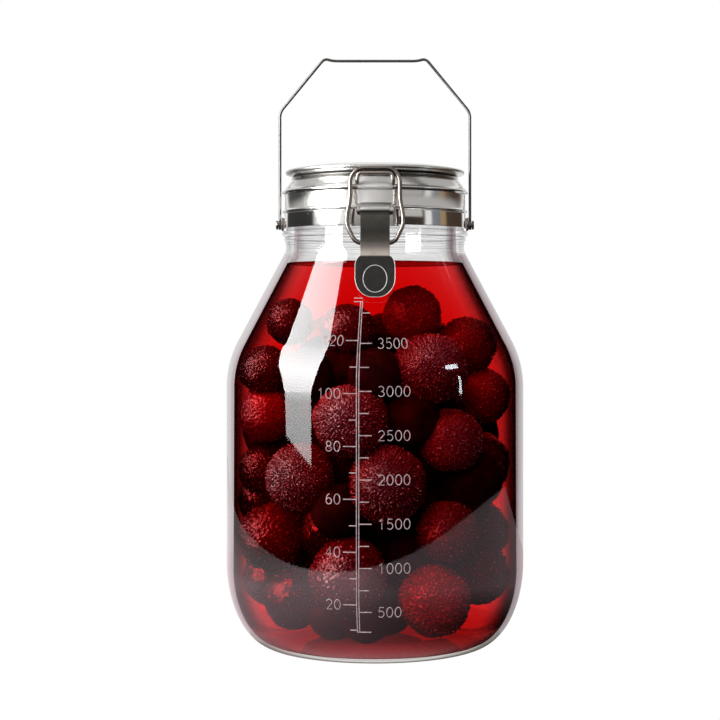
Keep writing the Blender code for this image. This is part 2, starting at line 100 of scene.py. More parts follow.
# Clip
LEVER_AXIS = Vector((0, -57.6 * MM, 248.4 * MM))
LEVER_BORE_R = 1.3 * MM
LEVER_HALF = 8.05 * MM
LEVER_EAR_X = (4.2 * MM, 5.8 * MM)
LEVER_KNEE = (-63.9 * MM, 222.9 * MM)
LEVER_SHEET = 1.4 * MM
LEVER_STRAIGHT_ROWS = 9
PADDLE_HALF = 10.9 * MM
PADDLE_END = (-69.4 * MM, 200.7 * MM)
PADDLE_CORNER = 5.5 * MM  # length over which the lever widens to the paddle
PADDLE_ROUND = 10.5 * MM  # length of the paddle's round end
PADDLE_FLAT = 1.5 * MM  # half of what stays straight at the very end
PADDLE_RING_Z = 210.7 * MM
PADDLE_RING = (6.5 * MM, 7.4 * MM)
BARREL_R = 2.1 * MM
LOOP_AXIS = Vector((0, -60.1 * MM, 230.4 * MM))
LOOP_BAR = (-55.3 * MM, 271.9 * MM)
LOOP_WIRE_R = 1.2 * MM
LOOP_SIDE_MM = ((10.6, 230.4), (15.6, 240.5), (15.4, 246), (13.7, 254.5), (13.7, 267), (9.2, 271.9))
TONGUE_HALF = 9.6 * MM
TONGUE_SHEET = 0.4 * MM
STRAP_R = 1.15 * MM
STRAP_X = (9.9 * MM, 9.6 * MM, 8.2 * MM)

# Contents
LEVEL = 220.3 * MM  # height of the liquor
SEAT = 0.2 * MM  # how far the liquor reaches into the wall
FOOT_GLOW_Z = 15 * MM  # below this the liquor's edges get less painted shade, so it looks bright from the side
FRONT_FRUIT = (  # turn in degrees, distance, height and radius in mm, brightness, which is painted light and shade
    (-82, 63.5, 134, 16.5, 2.4), (-44, 60, 100, 20, 0.75), (-13, 59, 133, 21, 0.95),
    (33, 56, 161, 21, 0.85), (7, 57, 97.5, 23, 0.7), (44, 61, 121, 19, 1.15),
    (80, 63.5, 144.5, 16.5, 1.6), (41, 61.5, 70.5, 18.5, 1), (-82, 59.5, 63, 21, 0.85),
    (-15, 56.5, 46, 22.5, 0.72), (37, 55, 32, 21, 2.5), (-85, 49.5, 187, 14.5, 0.5),
    (52, 27, 191, 17, 2.6), (80, 54, 173.5, 17.5, 1.2), (-23, 39, 182.5, 16, 0.6),
    (-80, 64, 159, 15.5, 0.45), (-88, 64, 101, 16, 0.35), (-50, 34, 68, 18, 0.3),
    (-70, 49, 29, 18, 0.2), (86, 60.5, 41, 18.5, 0.8), (39, 20, 143, 18, 0.35),
    (88, 61.5, 105, 18, 0.6), (-92, 60, 38, 17.5, 0.3), (90, 61, 66, 17.5, 0.4),
    (-95, 64.3, 84, 16.5, 0.3),
)
NEAREST_FRUIT = (1, 2, 3, 4, 5)
BACK_ROWS_MM = (29, 66, 102, 138, 172)
BACK_ROW_R_MM = (49, 59, 60, 59, 44)
INNER_LAYERS_MM = (  # layers, turns, shift of every other layer, distance, first height, rise, radius
    (6, (0,), 0, 2, 26, 27, 22),
    (6, range(10, 370, 72), 36, 30, 27, 27, 18),
    (5, range(0, 360, 45), 22.5, 54, 58, 25, 15.5),
    (6, range(66, 276, 30), 14, 60.5, 50, 24, 18),
    (1, (-40, -8, 20, 150, 180, 210, 240, 270), 0, 36, 21, 0, 15),
)

# Scale on the glass: a line a little left of the middle, millilitres to its right, fluid ounces to its left
SCALE_TURN = math.radians(-6.2)
SCALE_TOP_Z = 198.2 * MM
SCALE_LOW_Z = 21 * MM
ML_FIRST_Z = 32.2 * MM
ML_STEP = 23.6 * MM
ML_LAST_Z = 175.7 * MM
ML_TOP_TICK_Z = 192 * MM
ML_NUMBER_TURN = math.radians(1.2)
OZ_FIRST_Z = 36.2 * MM
OZ_STEP = 28.2 * MM
OZ_NUMBER_TURN = math.radians(-12.9)
NUMBER_HEIGHT = 5.4 * MM
NUMBER_PITCH = 4.6 * MM

# Camera, set so that the jar fills the photograph's frame
FRAME_PIXELS = 720
EYE_Z = 189.3 * MM
EYE_BACK = 1.012
FOCAL_PIXELS = 1738.8
AXIS_PIXEL = 375
EYE_PIXEL = 318
SENSOR_MM = 36

# Studio
JAR_MIDDLE_Z = 0.13
WINDOW_TOP_Z = 1.95
WINDOW_RADIANCE = 10.5
WINDOW_ROWS = (  # height, then the window's two edges in degrees from the camera's side
    (0.023, -47, -68), (0.115, -47, -69), (0.33, -45, -73), (0.5, -44, -80), (0.8, -43, -88),
    (1.15, -45, -90), (1.45, -49, -82), (WINDOW_TOP_Z, -52, -76),
)
WINDOW_SILL_RISE = 0.0385
SCREEN_R = 1.6
SCREEN_Z = (-0.4, 2.6)
SCREEN_EDGE = 142  # degrees from the camera's side to the last screen
SCREEN_TONES = (  # turn in degrees, plus to the right, and colour
    (-144, 0.05), (-84, 0.03), (-78, 0.9), (-38, 0.9), (-30, (0.2, 0.19, 0.18)), (25, (0.16, 0.15, 0.14)),
    (31, (0.045, 0.032, 0.03)), (63, (0.05, 0.04, 0.035)), (66, 0.9), (73, 0.9), (76, (0.24, 0.26, 0.3)),
    (88, (0.2, 0.21, 0.24)), (90, (0.4, 0.28, 0.15)), (98, (0.34, 0.23, 0.13)), (101, (0.07, 0.045, 0.03)),
    (142, (0.06, 0.04, 0.03)),
)
WORLD_TONES = (
    (-180, 1), (-150, 1), (-143, 0.04), (-80, (0.03, 0.015, 0.015)), (80, (0.03, 0.015, 0.015)),
    (141, (0.05, 0.035, 0.03)), (149, 1), (180, 1),
)
TABLE_MIDDLE = (0.165, 0.29)  # the mirrored table: a half circle in front, and a strip on the left behind
TABLE_R = 0.71
TABLE_BACK_Y = 0.4
TABLE_STRIP_Y = 1.3

TURN_STEPS = 160

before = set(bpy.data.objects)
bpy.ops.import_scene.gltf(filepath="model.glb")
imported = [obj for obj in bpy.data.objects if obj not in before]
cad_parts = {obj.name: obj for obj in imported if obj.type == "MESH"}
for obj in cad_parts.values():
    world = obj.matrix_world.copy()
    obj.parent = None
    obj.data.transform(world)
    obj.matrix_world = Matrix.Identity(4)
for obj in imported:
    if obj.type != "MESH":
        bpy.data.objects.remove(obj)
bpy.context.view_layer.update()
metal_group = bpy.data.collections.new("metal_group")
glass_group = bpy.data.collections.new("glass_group")
fruit_group = bpy.data.collections.new("fruit_group")


# Node helpers

def new_material(name):
    mat = bpy.data.materials.new(name)
    mat.use_nodes = True
    mat.node_tree.nodes.clear()
    return mat, mat.node_tree


def rgba(colour):
    # A grey may be given as one number.
    return (*colour, 1) if isinstance(colour, tuple) else (colour, colour, colour, 1)


def feed(tree, slot, value):
    # Sets an input, or links another node's output to it.
    if isinstance(value, bpy.types.NodeSocket):
        tree.links.new(value, slot)
    else:
        slot.default_value = rgba(value) if slot.type == "RGBA" else value


def node(tree, kind, **values):
    # A value goes to the input with its name, or else to the node's own setting.
    made = tree.nodes.new("ShaderNode" + kind)
    for key, value in values.items():
        title = key.replace("_", " ")
        if title in made.inputs:
            feed(tree, made.inputs[title], value)
        else:
            setattr(made, key, value)
    return made


def math_node(tree, operation, first, second=0, third=0, clamp=False):
    made = node(tree, "Math", operation=operation, use_clamp=clamp)
    for slot, value in zip(made.inputs, (first, second, third)):
        feed(tree, slot, value)
    return made.outputs[0]


def ramp(tree, factor, stops):
    made = node(tree, "ValToRGB", Fac=factor)
    elements = made.color_ramp.elements
    while len(elements) < len(stops):
        elements.new(0.5)
    for element, (place, colour) in zip(elements, stops):
        element.position = place
        element.color = rgba(colour)
    return made.outputs[0]


def mix_colour(tree, factor, first, second, blend="MIX"):
    made = node(tree, "Mix", data_type="RGBA", blend_type=blend)
    for slot, value in ((0, factor), (6, first), (7, second)):
        feed(tree, made.inputs[slot], value)
    return made.outputs[2]


def mix_shader(tree, share, first, second):
    made = node(tree, "MixShader", Fac=share)
    feed(tree, made.inputs[1], first.outputs[0])
    feed(tree, made.inputs[2], second.outputs[0])
    return made


def place_of(tree):
    return node(tree, "TexCoord").outputs["Object"]


def axes(tree):
    return node(tree, "SeparateXYZ", Vector=place_of(tree)).outputs


def facing_of(tree):
    # 0 where a surface faces the eye, 1 where it is seen edge on.
    return node(tree, "LayerWeight", Blend=0.5).outputs["Facing"]


def share_between(tree, value, low, high):
    return math_node(tree, "MULTIPLY_ADD", value, 1 / (high - low), -low / (high - low))


def cloud(tree, scale, detail, dark, light, low=0.3, high=0.7):
    # A patchy tone that is fixed to the piece.
    patches = node(tree, "TexNoise", Vector=place_of(tree), Scale=scale, Detail=detail)
    return ramp(tree, patches.outputs["Fac"], [(low, dark), (high, light)])


def darker(colour, share):
    return tuple(share * part for part in colour)


def by_turn(tree, x, y, tones):
    # A colour that depends on the direction round the jar, in degrees from the camera's side.
    turn = math_node(tree, "ARCTAN2", x, math_node(tree, "MULTIPLY", y, -1))
    share = math_node(tree, "MULTIPLY_ADD", turn, 0.5 / math.pi, 0.5)
    return ramp(tree, share, [(degrees / 360 + 0.5, tone) for degrees, tone in tones])


def surfaced(mat, shader, **others):
    node(mat.node_tree, "OutputMaterial", Surface=shader.outputs[0], **others)
    return mat


def principled(mat, **values):
    return surfaced(mat, node(mat.node_tree, "BsdfPrincipled", **values))


def glowing(mat, colour, strength):
    return surfaced(mat, node(mat.node_tree, "Emission", Color=colour, Strength=strength))


# Materials

def clear_material(name, tint_and_shade_stops, gloss_base, gloss_edge, adjust=None):
    # Clear glass seen as a thin surface: it tints what is behind and shines. Towards its edges the tint
    # darkens more, partly the glass's own colour and partly painted shade for the light that the thick wall
    # bends away.
    mat, tree = new_material(name)
    facing = facing_of(tree)
    tint_and_shade = ramp(tree, facing, tint_and_shade_stops)
    if adjust:
        tint_and_shade = adjust(tree, tint_and_shade, facing)
    steep = math_node(tree, "POWER", facing, 5)
    share = math_node(tree, "MULTIPLY_ADD", steep, gloss_edge - gloss_base, gloss_base)
    clear = node(tree, "BsdfTransparent", Color=tint_and_shade)
    return surfaced(mat, mix_shader(tree, share, clear, node(tree, "BsdfAnisotropic", Roughness=0.035)))


def shaded_side(tree, tint_and_shade, facing):
    # The side away from the window and the thick lower part are darker along their edges.
    x, _, z = axes(tree)
    right = math_node(tree, "MULTIPLY", x, 1 / SHADE_FADE, clamp=True)
    below = math_node(tree, "SUBTRACT", LOW_SHADE_Z, z)
    low = math_node(tree, "MULTIPLY", below, 1 / SHADE_FADE, clamp=True)
    dark = ramp(tree, facing, [
        (0, 0.995), (0.5, 0.985), (0.62, (0.7, 0.64, 0.65)), (0.68, (0.56, 0.48, 0.5)),
        (0.8, (0.64, 0.6, 0.61)), (0.9, (0.74, 0.72, 0.725)), (1, 0.8),
    ])
    return mix_colour(tree, math_node(tree, "MAXIMUM", right, low), tint_and_shade, dark)


def neck_lines(tree, tint_and_shade, _):
    # Thin dark lines run round the neck where its rings bend the light.
    wander = node(tree, "TexNoise", Vector=place_of(tree), Scale=45, Detail=1).outputs["Fac"]
    height = math_node(tree, "MULTIPLY_ADD", wander, NECK_LINES_WANDER, axes(tree)[2])
    low, high = NECK_LINES_Z
    stops = [(0, 1)]
    for line, width, tone in NECK_LINES_MM:
        middle = (line * MM - low) / (high - low)
        core, fade = (reach * width * MM / (high - low) for reach in (0.25, 0.8))
        stops += [(middle - fade, 1), (middle - core, tone), (middle + core, tone), (middle + fade, 1)]
    lines = ramp(tree, share_between(tree, height, low, high), stops)
    return mix_colour(tree, 1, tint_and_shade, lines, "MULTIPLY")


def glass_materials():
    side = clear_material("clear_glass", [
        (0, 0.995), (0.5, 0.985), (0.62, (0.9, 0.86, 0.865)), (0.68, (0.78, 0.72, 0.73)),
        (0.8, (0.8, 0.77, 0.775)), (0.9, (0.84, 0.82, 0.825)), (1, 0.88),
    ], 0.08, 0.45, shaded_side)
    wet = clear_material("wet_glass", [(0, 1), (1, 0.96)], 0, 1)
    neck = clear_material("neck_glass", [
        (0, 0.995), (0.3, 0.99), (0.44, 0.84), (0.52, 0.98), (0.66, 0.96), (0.76, 0.8), (0.86, 0.9),
        (1, 0.92),
    ], 0.012, 1, neck_lines)
    # The thick foot has painted shade: a dark line where the liquor ends, and another along its lower edge.
    foot = clear_material("foot_glass", [
        (0, 0.99), (0.56, 0.98), (0.61, (0.55, 0.5, 0.47)), (0.66, (0.95, 0.96, 0.95)),
        (0.74, (0.95, 0.97, 0.955)), (0.8, (0.5, 0.49, 0.46)), (1, (0.25, 0.24, 0.22)),
    ], 0.08, 0.2)
    return side, wet, neck, foot


def liquor_material(name, stops):
    # Deep red liquor: it takes up green and blue within a few millimetres and red within decimetres.
    mat, tree = new_material(name)
    # What is seen through the liquor's surface darkens towards its edges as painted shade.
    clear = node(tree, "BsdfTransparent", Color=ramp(tree, facing_of(tree), stops))
    take_up = node(tree, "VolumeAbsorption", Color=(0.968, 0.44, 0.45), Density=96)
    return surfaced(mat, clear, Volume=take_up.outputs[0])


def liquor_top_material():
    # The underside of the liquor's surface mirrors the dark depths.
    mat, tree = new_material("liquor_top")
    share = math_node(tree, "MULTIPLY", facing_of(tree), 0.22)
    clear = node(tree, "BsdfTransparent", Color=(0.34, 0.06, 0.07))
    return surfaced(mat, mix_shader(tree, share, clear, node(tree, "BsdfAnisotropic", Roughness=0.05)))


def fruit_material():
    # Skin of small round grains: crimson on the grains, near black in the seams as painted shade, and pale
    # glowing sparks on some tips as painted glints.
    mat, tree = new_material("fruit_skin")
    place = place_of(tree)
    tip = node(tree, "Attribute", attribute_name="grain").outputs["Fac"]
    # The tone attribute is painted light and shade: how brightly each fruit is lit.
    tone = node(tree, "Attribute", attribute_name="tone").outputs["Fac"]
    patch = node(tree, "TexNoise", Vector=place, Scale=36, Detail=3).outputs["Fac"]
    skin = ramp(tree, patch, [
        (0.3, (0.17, 0.009, 0.017)), (0.5, (0.3, 0.015, 0.026)), (0.72, (0.47, 0.024, 0.036)),
    ])
    depth = ramp(tree, tip, [(0.12, 0), (0.85, 1)])
    bright = node(tree, "CombineColor", Red=tone, Green=tone, Blue=tone).outputs[0]
    shaded_seam = mix_colour(tree, depth, (0.11, 0.003, 0.01), skin)
    shaded_seam = mix_colour(tree, 1, shaded_seam, bright, "MULTIPLY")
    cells = node(tree, "TexVoronoi", Vector=place, Scale=640)
    draw = node(tree, "SeparateColor", Color=cells.outputs["Color"]).outputs
    chosen = math_node(tree, "GREATER_THAN", draw[0], 0.55)
    near = math_node(tree, "LESS_THAN", cells.outputs["Distance"], 0.34)
    painted_glint = math_node(tree, "MULTIPLY", math_node(tree, "MULTIPLY", chosen, near), depth)
    painted_glint = math_node(tree, "MULTIPLY", painted_glint, draw[1])
    return principled(
        mat, Base_Color=mix_colour(tree, painted_glint, shaded_seam, (0.85, 0.42, 0.47)), Roughness=0.24,
        Specular_IOR_Level=0.55, Emission_Color=(1, 0.62, 0.68),
        Emission_Strength=math_node(tree, "MULTIPLY", painted_glint, 0.09))


def patchy(name, patches, glow=0, **values):
    # One patchy tone. With glow it also glows a little, as painted light for what the piece mirrors or
    # scatters from all round.
    mat, tree = new_material(name)
    tone = cloud(tree, *patches)
    if glow:
        values.update(Emission_Color=tone, Emission_Strength=glow)
    return principled(mat, Base_Color=tone, **values)


def brushed_rings(tree, strength):
    # Fine grain that runs round the axis.
    x, y, z = axes(tree)
    squares = [math_node(tree, "POWER", value, 2) for value in (x, y)]
    from_axis = math_node(tree, "SQRT", math_node(tree, "ADD", *squares))
    rings = node(tree, "CombineXYZ", X=from_axis, Y=z).outputs[0]
    lines = node(tree, "TexNoise", Vector=rings, Scale=900, Detail=2).outputs["Fac"]
    return node(tree, "Bump", Strength=strength, Distance=0.05 * MM, Height=lines).outputs[0]


def steel_material(name, colour, roughness, grain=0):
    # Stainless steel with a faint uneven polish.
    mat, tree = new_material(name)
    rough = cloud(tree, 60, 4, roughness * 0.75, roughness * 1.3)
    tone = cloud(tree, 60, 4, darker(colour, 0.94), colour)
    relief = {"Normal": brushed_rings(tree, grain)} if grain else {}
    return principled(mat, Base_Color=tone, Metallic=1, Roughness=rough, **relief)


def wire_material(name, colour, roughness):
    # Bent wire with a brown tinge, dark where it is seen edge on.
    patches = (120, 3, darker(colour, 0.8), colour)
    return patchy(name, patches, Metallic=1, Roughness=roughness, Specular_Tint=(0.22, 0.18, 0.16))


def lever_material():
    # Dark satin steel with painted reflections: lighter towards the crease above the paddle, and a bright
    # painted highlight at the barrel's top.
    mat, tree = new_material("dark_steel")
    share = share_between(tree, axes(tree)[2], LEVER_KNEE[1], LEVER_AXIS.z + 0.9 * MM)
    blend = ramp(tree, share, [
        (0, (0.055, 0.053, 0.05)), (0.03, (0.72, 0.64, 0.58)), (0.1, (0.62, 0.55, 0.5)),
        (0.21, (0.28, 0.25, 0.23)), (0.32, (0.11, 0.1, 0.088)), (0.53, (0.062, 0.058, 0.052)),
        (0.86, (0.105, 0.1, 0.088)), (0.955, 0.02), (1, (0.75, 0.74, 0.72)),
    ])
    tone = mix_colour(tree, 1, blend, cloud(tree, 220, 4, 0.88, 1.06), "MULTIPLY")
    return principled(mat, Base_Color=tone, Metallic=1, Roughness=0.33)


def floor_material():
    # The mirrored table is palest on the window's side, as painted light, and dark close to the jar's other
    # side, as a painted shadow of the jar.
    mat, tree = new_material("pale_floor")
    distance = node(tree, "VectorMath", operation="LENGTH", Vector=place_of(tree)).outputs["Value"]
    share = math_node(tree, "ADD", axes(tree)[0], 0.5)
    far = ramp(tree, share, [
        (0.05, (0.36, 0.35, 0.355)), (0.28, (1, 0.8, 0.86)), (0.42, (0.95, 0.68, 0.74)),
        (0.56, (0.36, 0.27, 0.3)), (1, (0.34, 0.26, 0.28)),
    ])
    near = ramp(tree, share, [
        (0.4, (0.85, 0.6, 0.66)), (0.5, (0.3, 0.18, 0.2)), (0.56, (0.05, 0.03, 0.03)),
        (0.6, (0.02, 0.01, 0.01)),
    ])
    away = ramp(tree, distance, [(0.1, 0), (0.22, 1)])
    return glowing(mat, mix_colour(tree, away, near, far), 1.6)


# Mesh helpers

def link(name, mesh, mats):
    obj = bpy.data.objects.new(name, mesh)
    bpy.context.scene.collection.objects.link(obj)
    for mat in mats:
        mesh.materials.append(mat)
    return obj


def new_mesh(name, verts, faces):
    mesh = bpy.data.meshes.new(name)
    mesh.from_pydata(verts, [], faces)
    return mesh


def shade(mesh, angle=40):
    mesh.shade_smooth()
    mesh.set_sharp_from_angle(angle=math.radians(angle))


def turned(name, profile, mats, closed=False, slot_of=None, angle=40):
    # Turns (radius, height) pairs about Z. Points on the axis become one vertex.
    verts = []
    rows = []
    for r, z in profile:
        if r < TOLERANCE:
            rows.append([len(verts)] * TURN_STEPS)
            verts.append((0, 0, z))
            continue
        rows.append(list(range(len(verts), len(verts) + TURN_STEPS)))
        for i in range(TURN_STEPS):
            turn = math.tau * i / TURN_STEPS
            verts.append((r * math.cos(turn), r * math.sin(turn), z))
    pairs = list(zip(rows, rows[1:]))
    if closed:
        pairs.append((rows[-1], rows[0]))
    faces = []
    slots = []
    for k, (upper, lower) in enumerate(pairs):
        for i in range(TURN_STEPS):
            j = (i + 1) % TURN_STEPS
            corners = [upper[i], lower[i], lower[j], upper[j]]
            faces.append(tuple(dict.fromkeys(corners)))
            slots.append(slot_of(k) if slot_of else 0)
    mesh = new_mesh(name, verts, faces)
    mesh.polygons.foreach_set("material_index", slots)
    shade(mesh, angle)
    return link(name, mesh, mats)


def grid(name, rows, mats):
    # Four-sided faces between rows of points.
    count = len(rows[0])
    faces = []
    for i in range(len(rows) - 1):
        for j in range(count - 1):
            a = i * count + j
            faces.append((a, a + 1, a + count + 1, a + count))
    return link(name, new_mesh(name, [point for row in rows for point in row], faces), mats)


def bow(cx, cy, rx, ry, start, end, count=10):
    # Points along an ellipse, between two angles in degrees.
    angles = [math.radians(start + (end - start) * i / count) for i in range(count + 1)]
    return [(cx + rx * math.cos(angle), cy + ry * math.sin(angle)) for angle in angles]


def arc(centre, radius, start, end, count):
    return bow(*centre, radius, radius, start, end, count)


def between(first, last, share):
    return tuple(a + (b - a) * share for a, b in zip(first, last))


def both_sides(points):
    return points + [Vector((-p.x, p.y, p.z)) for p in points[::-1]]


def evaluated_mesh(obj):
    bpy.context.view_layer.update()
    return bpy.data.meshes.new_from_object(obj.evaluated_get(bpy.context.evaluated_depsgraph_get()))


def curve_mesh(name, chains, radius, mat, cyclic=False, resolution=3):
    # Round wire along chains of points, as one mesh with closed ends.
    curve = bpy.data.curves.new(name, "CURVE")
    curve.dimensions = "3D"
    curve.bevel_depth = radius
    curve.bevel_resolution = resolution
    curve.use_fill_caps = True
    for points in chains:
        spline = curve.splines.new("POLY")
        spline.points.add(len(points) - 1)
        for slot, point in zip(spline.points, points):
            slot.co = (*point, 1)
        spline.use_cyclic_u = cyclic
    path = link(name + "_path", curve, [])
    mesh = evaluated_mesh(path)
    bpy.data.objects.remove(path, do_unlink=True)
    work = bmesh.new()
    work.from_mesh(mesh)
    bmesh.ops.remove_doubles(work, verts=work.verts, dist=0.5 * TOLERANCE)
    work.to_mesh(mesh)
    work.free()
    mesh.name = name
    mesh.materials.clear()
    shade(mesh, 50)
    return link(name, mesh, [mat])


def rounded(points, radius, count, cyclic=False):
    # The chain of points with its corners rounded, by less than half of each side.
    result = []
    total = len(points)
    for i, corner in enumerate(points):
        if not cyclic and i in (0, total - 1):
            result.append(corner)
            continue
        before = points[i - 1] - corner
        after = points[(i + 1) % total] - corner
        start = corner + before.normalized() * min(radius, before.length * 0.45)
        end = corner + after.normalized() * min(radius, after.length * 0.45)
        for k in range(count + 1):
            t = k / count
            result.append(start * (1 - t) ** 2 + corner * 2 * t * (1 - t) + end * t ** 2)
    return result


def rod(name, radius, x_from, x_to, y, z, mat):
    # A cylinder along X.
    bpy.ops.mesh.primitive_cylinder_add(
        vertices=40, radius=radius, depth=abs(x_to - x_from),
        location=((x_from + x_to) / 2, y, z), rotation=(0, math.pi / 2, 0))
    obj = bpy.context.object
    obj.name = name
    obj.data.materials.append(mat)
    return obj


def combine(obj, other, operation):
    boolean = obj.modifiers.new(operation.title(), "BOOLEAN")
    boolean.operation = operation
    boolean.solver = "EXACT"
    boolean.object = other


def bevel(obj, width, segments, slot=-1):
    made = obj.modifiers.new("Bevel", "BEVEL")
    made.width = width
    made.segments = segments
    made.limit_method = "ANGLE"
    made.angle_limit = math.radians(40)
    made.material = slot
    return obj


def solidify(obj, thickness, offset, even=False):
    solid = obj.modifiers.new("Solidify", "SOLIDIFY")
    solid.thickness = thickness
    solid.offset = offset
    solid.use_even_offset = even
    return obj


def freeze(obj, angle=35):
    # Applies the modifiers and removes the pieces that were cut with or joined in.
    helpers = [made.object for made in obj.modifiers if made.type == "BOOLEAN"]
    mesh = evaluated_mesh(obj)
    mesh.transform(obj.matrix_world)
    obj.modifiers.clear()
    obj.data = mesh
    obj.matrix_world = Matrix.Identity(4)
    for helper in helpers:
        bpy.data.objects.remove(helper, do_unlink=True)
    shade(mesh, angle)
    return obj


def put(obj, group, body, slot, *replaced):
    # The group is the one that the lights for such pieces shine on.
    if group:
        group.objects.link(obj)
    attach(obj, body)
    if replaced:
        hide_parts(*replaced)
    return obj


def put_steel(obj, *replaced, body="jar", slot="polished_steel"):
    return put(obj, metal_group, body, slot, *replaced)


# Glass and liquor

def shoulder_curve(offset, count):
    # From the throat down the fillet and the straight cone to the straight side.
    reach = THROAT_R + FILLET_R * (1 - math.cos(SHOULDER_TILT))
    cone_r = BODY_R - SHOULDER_R * (1 - math.cos(SHOULDER_TILT))
    cone_z = SIDE_TOP + SHOULDER_R * math.sin(SHOULDER_TILT)
    rise = (cone_r - reach) / math.tan(SHOULDER_TILT)
    fillet = (THROAT_R + FILLET_R, cone_z + rise + FILLET_R * math.sin(SHOULDER_TILT))
    return (arc(fillet, FILLET_R + offset, 180, 180 + SHOULDER_DEGREES, 6)
            + arc((BODY_R - SHOULDER_R, SIDE_TOP), SHOULDER_R - offset, SHOULDER_DEGREES, 0, count))


def outer_wall():
    return shoulder_curve(0, 24) + bow(FOOT_R, FOOT_RISE, BODY_R - FOOT_R, FOOT_RISE, 0, -90, 32)[1:]


def inner_wall(seat=0):
    # The glass's inner side from the throat to the middle of the floor; seat lets the liquor reach in.
    curve = shoulder_curve(WALL - seat, 20)
    wide = BODY_R - FOOT_R
    for r, z in bow(0, 0, 1, 1, 0, 90, 24)[1:]:
        thickness = WALL + (FLOOR - WALL) * z ** 0.6 - seat
        out = Vector((r / wide, -z / FOOT_RISE)).normalized()
        curve.append((FOOT_R + wide * r - out.x * thickness, FOOT_RISE - FOOT_RISE * z - out.y * thickness))
    return curve + [(0.5 * FOOT_R, FLOOR + 0.6 * PUNT - seat), (0, FLOOR + PUNT - seat)]


def radius_at(profile, height):
    # The radius at a height of a profile that runs down.
    for (r_high, z_high), (r_low, z_low) in zip(profile, profile[1:]):
        if z_low <= height <= z_high and z_high > z_low:
            return r_high + (r_low - r_high) * (z_high - height) / (z_high - z_low)
    raise ValueError(f"the profile has no radius at {height}")


def glass_outside():
    bead = arc((BEAD_R - 1.5 * MM, BEAD_Z), 1.5 * MM, 80, -75, 12)
    ring = arc((THROAT_R, BEAD_Z - 3.1 * MM), 1.1 * MM, 65, -65, 8)
    step_r = BAND_R - SHEET - GAP
    rim = arc((FINISH_R - RIM_ROUND, RIM_TOP - RIM_ROUND), RIM_ROUND, 90, 0, 6)
    points = [(BORE_R + 1.4 * MM, RIM_TOP)] + rim
    points += [(FINISH_R, BAND_Z[1] + 0.2 * MM), (step_r, BAND_Z[1] - 0.4 * MM), (step_r, BEAD_Z + 1.5 * MM)]
    points += bead + ring + outer_wall()
    return points + [(FOOT_R - FOOT_RING, 0), (FOOT_R - 2 * FOOT_RING, PUNT), (0, PUNT)]


def make_glass(mats):
    inside = [(BORE_R, RIM_TOP - 1.4 * MM)] + inner_wall()
    first_wet = next(k for k, (_, z) in enumerate(inside) if z < LEVEL)
    inside.insert(first_wet, (radius_at(inside, LEVEL), LEVEL))
    profile = inside[::-1] + glass_outside()

    def slot_of(k):
        low, high = sorted((profile[k][1], profile[k + 1][1]))
        if k < len(inside) - 1:
            return 1 if high < LEVEL + TOLERANCE else 0
        if high < FOOT_LINE_Z:
            return 3
        return 2 if low > NECK_LOW_Z else 0

    shell = turned("glass_shell", profile, mats, slot_of=slot_of)
    put(shell, glass_group, "jar", "clear_glass", "glass_jar")


def make_liquor(liquor, top, foot):
    # The liquor's top creeps up the wall a little.
    wall = [(r, z) for r, z in inner_wall(SEAT) if z < LEVEL - 2 * MM]
    edge_r = wall[0][0] - (LEVEL - wall[0][1]) * math.tan(SHOULDER_TILT)
    creep = [(0, LEVEL), (edge_r - 2.5 * MM, LEVEL), (edge_r - 0.9 * MM, LEVEL + 0.25 * MM),
             (edge_r, LEVEL + 0.9 * MM), (edge_r + 0.4 * MM, LEVEL)]
    profile = creep + wall

    def slot_of(k):
        if k < 3:
            return 1
        return 2 if profile[k][1] < FOOT_GLOW_Z else 0

    pool = turned("liquor", profile, [liquor, top, foot], slot_of=slot_of, angle=70)
    put(pool, None, "jar", "fruit_skin")


# Fruit

def grain_sphere(level, grains, seed, height):
    # A unit ball with round grains spread evenly over it: its points, its faces and how far up a grain each
    # point is.
    work = bmesh.new()
    bmesh.ops.create_icosphere(work, subdivisions=level, radius=1)
    draw = random.Random(seed)
    tree = kdtree.KDTree(grains)
    tallness = []
    golden = math.pi * (3 - math.sqrt(5))
    spacing = 1 / math.sqrt(grains)
    for i in range(grains):
        z = 1 - 2 * (i + 0.5) / grains
        flat = math.sqrt(1 - z * z)
        spot = Vector((flat * math.cos(golden * i), flat * math.sin(golden * i), z))
        stray = Vector([draw.uniform(-1, 1) for _ in range(3)])
        tree.insert((spot + stray * 1.5 * spacing).normalized(), i)
        tallness.append(draw.uniform(0.3, 1.5))
    tree.balance()
    reach = 1.35 * spacing
    tips = []
    for vert in work.verts:
        out = vert.co.normalized()
        _, index, distance = tree.find(out)
        dome = max(0, 1 - (distance / reach) ** 2)
        lump = 0.05 * noise.noise(out * 1.9 + Vector((seed, 0, 0)))
        vert.co = out * (1 - height + lump + height * tallness[index] * dome)
        tips.append(dome * tallness[index])
    work.verts.index_update()
    points = np.array([v.co[:] for v in work.verts])
    faces = np.array([[v.index for v in f.verts] for f in work.faces])
    work.free()
    return points, faces, np.array(tips)


def back_places():
    places = []
    draw = random.Random(7)
    for row, (height, distance) in enumerate(zip(BACK_ROWS_MM, BACK_ROW_R_MM)):
        for step in range(3):
            turn = math.radians(132 + 46 * step + (12 if row % 2 else -4))
            size = (19 + draw.uniform(-2, 2)) * MM
            places.append((turn, distance * MM, (height + draw.uniform(-3, 3)) * MM, size, 0.8))
    return places


def inner_places(front):
    # Fruit that fill the middle of the heap and the gaps behind the outer ones.
    wall = inner_wall()
    places = []
    for layers, turns, shift, distance, first, rise, size in INNER_LAYERS_MM:
        for layer in range(layers):
            for turn in turns:
                angle = math.radians(turn + shift * (layer % 2))
                place = (angle, distance * MM, (first + rise * layer) * MM, size * MM, 1.0)
                if place[1] + place[3] < radius_at(wall, place[2]) - MM and clear_of(place, front):
                    places.append(place)
    return places


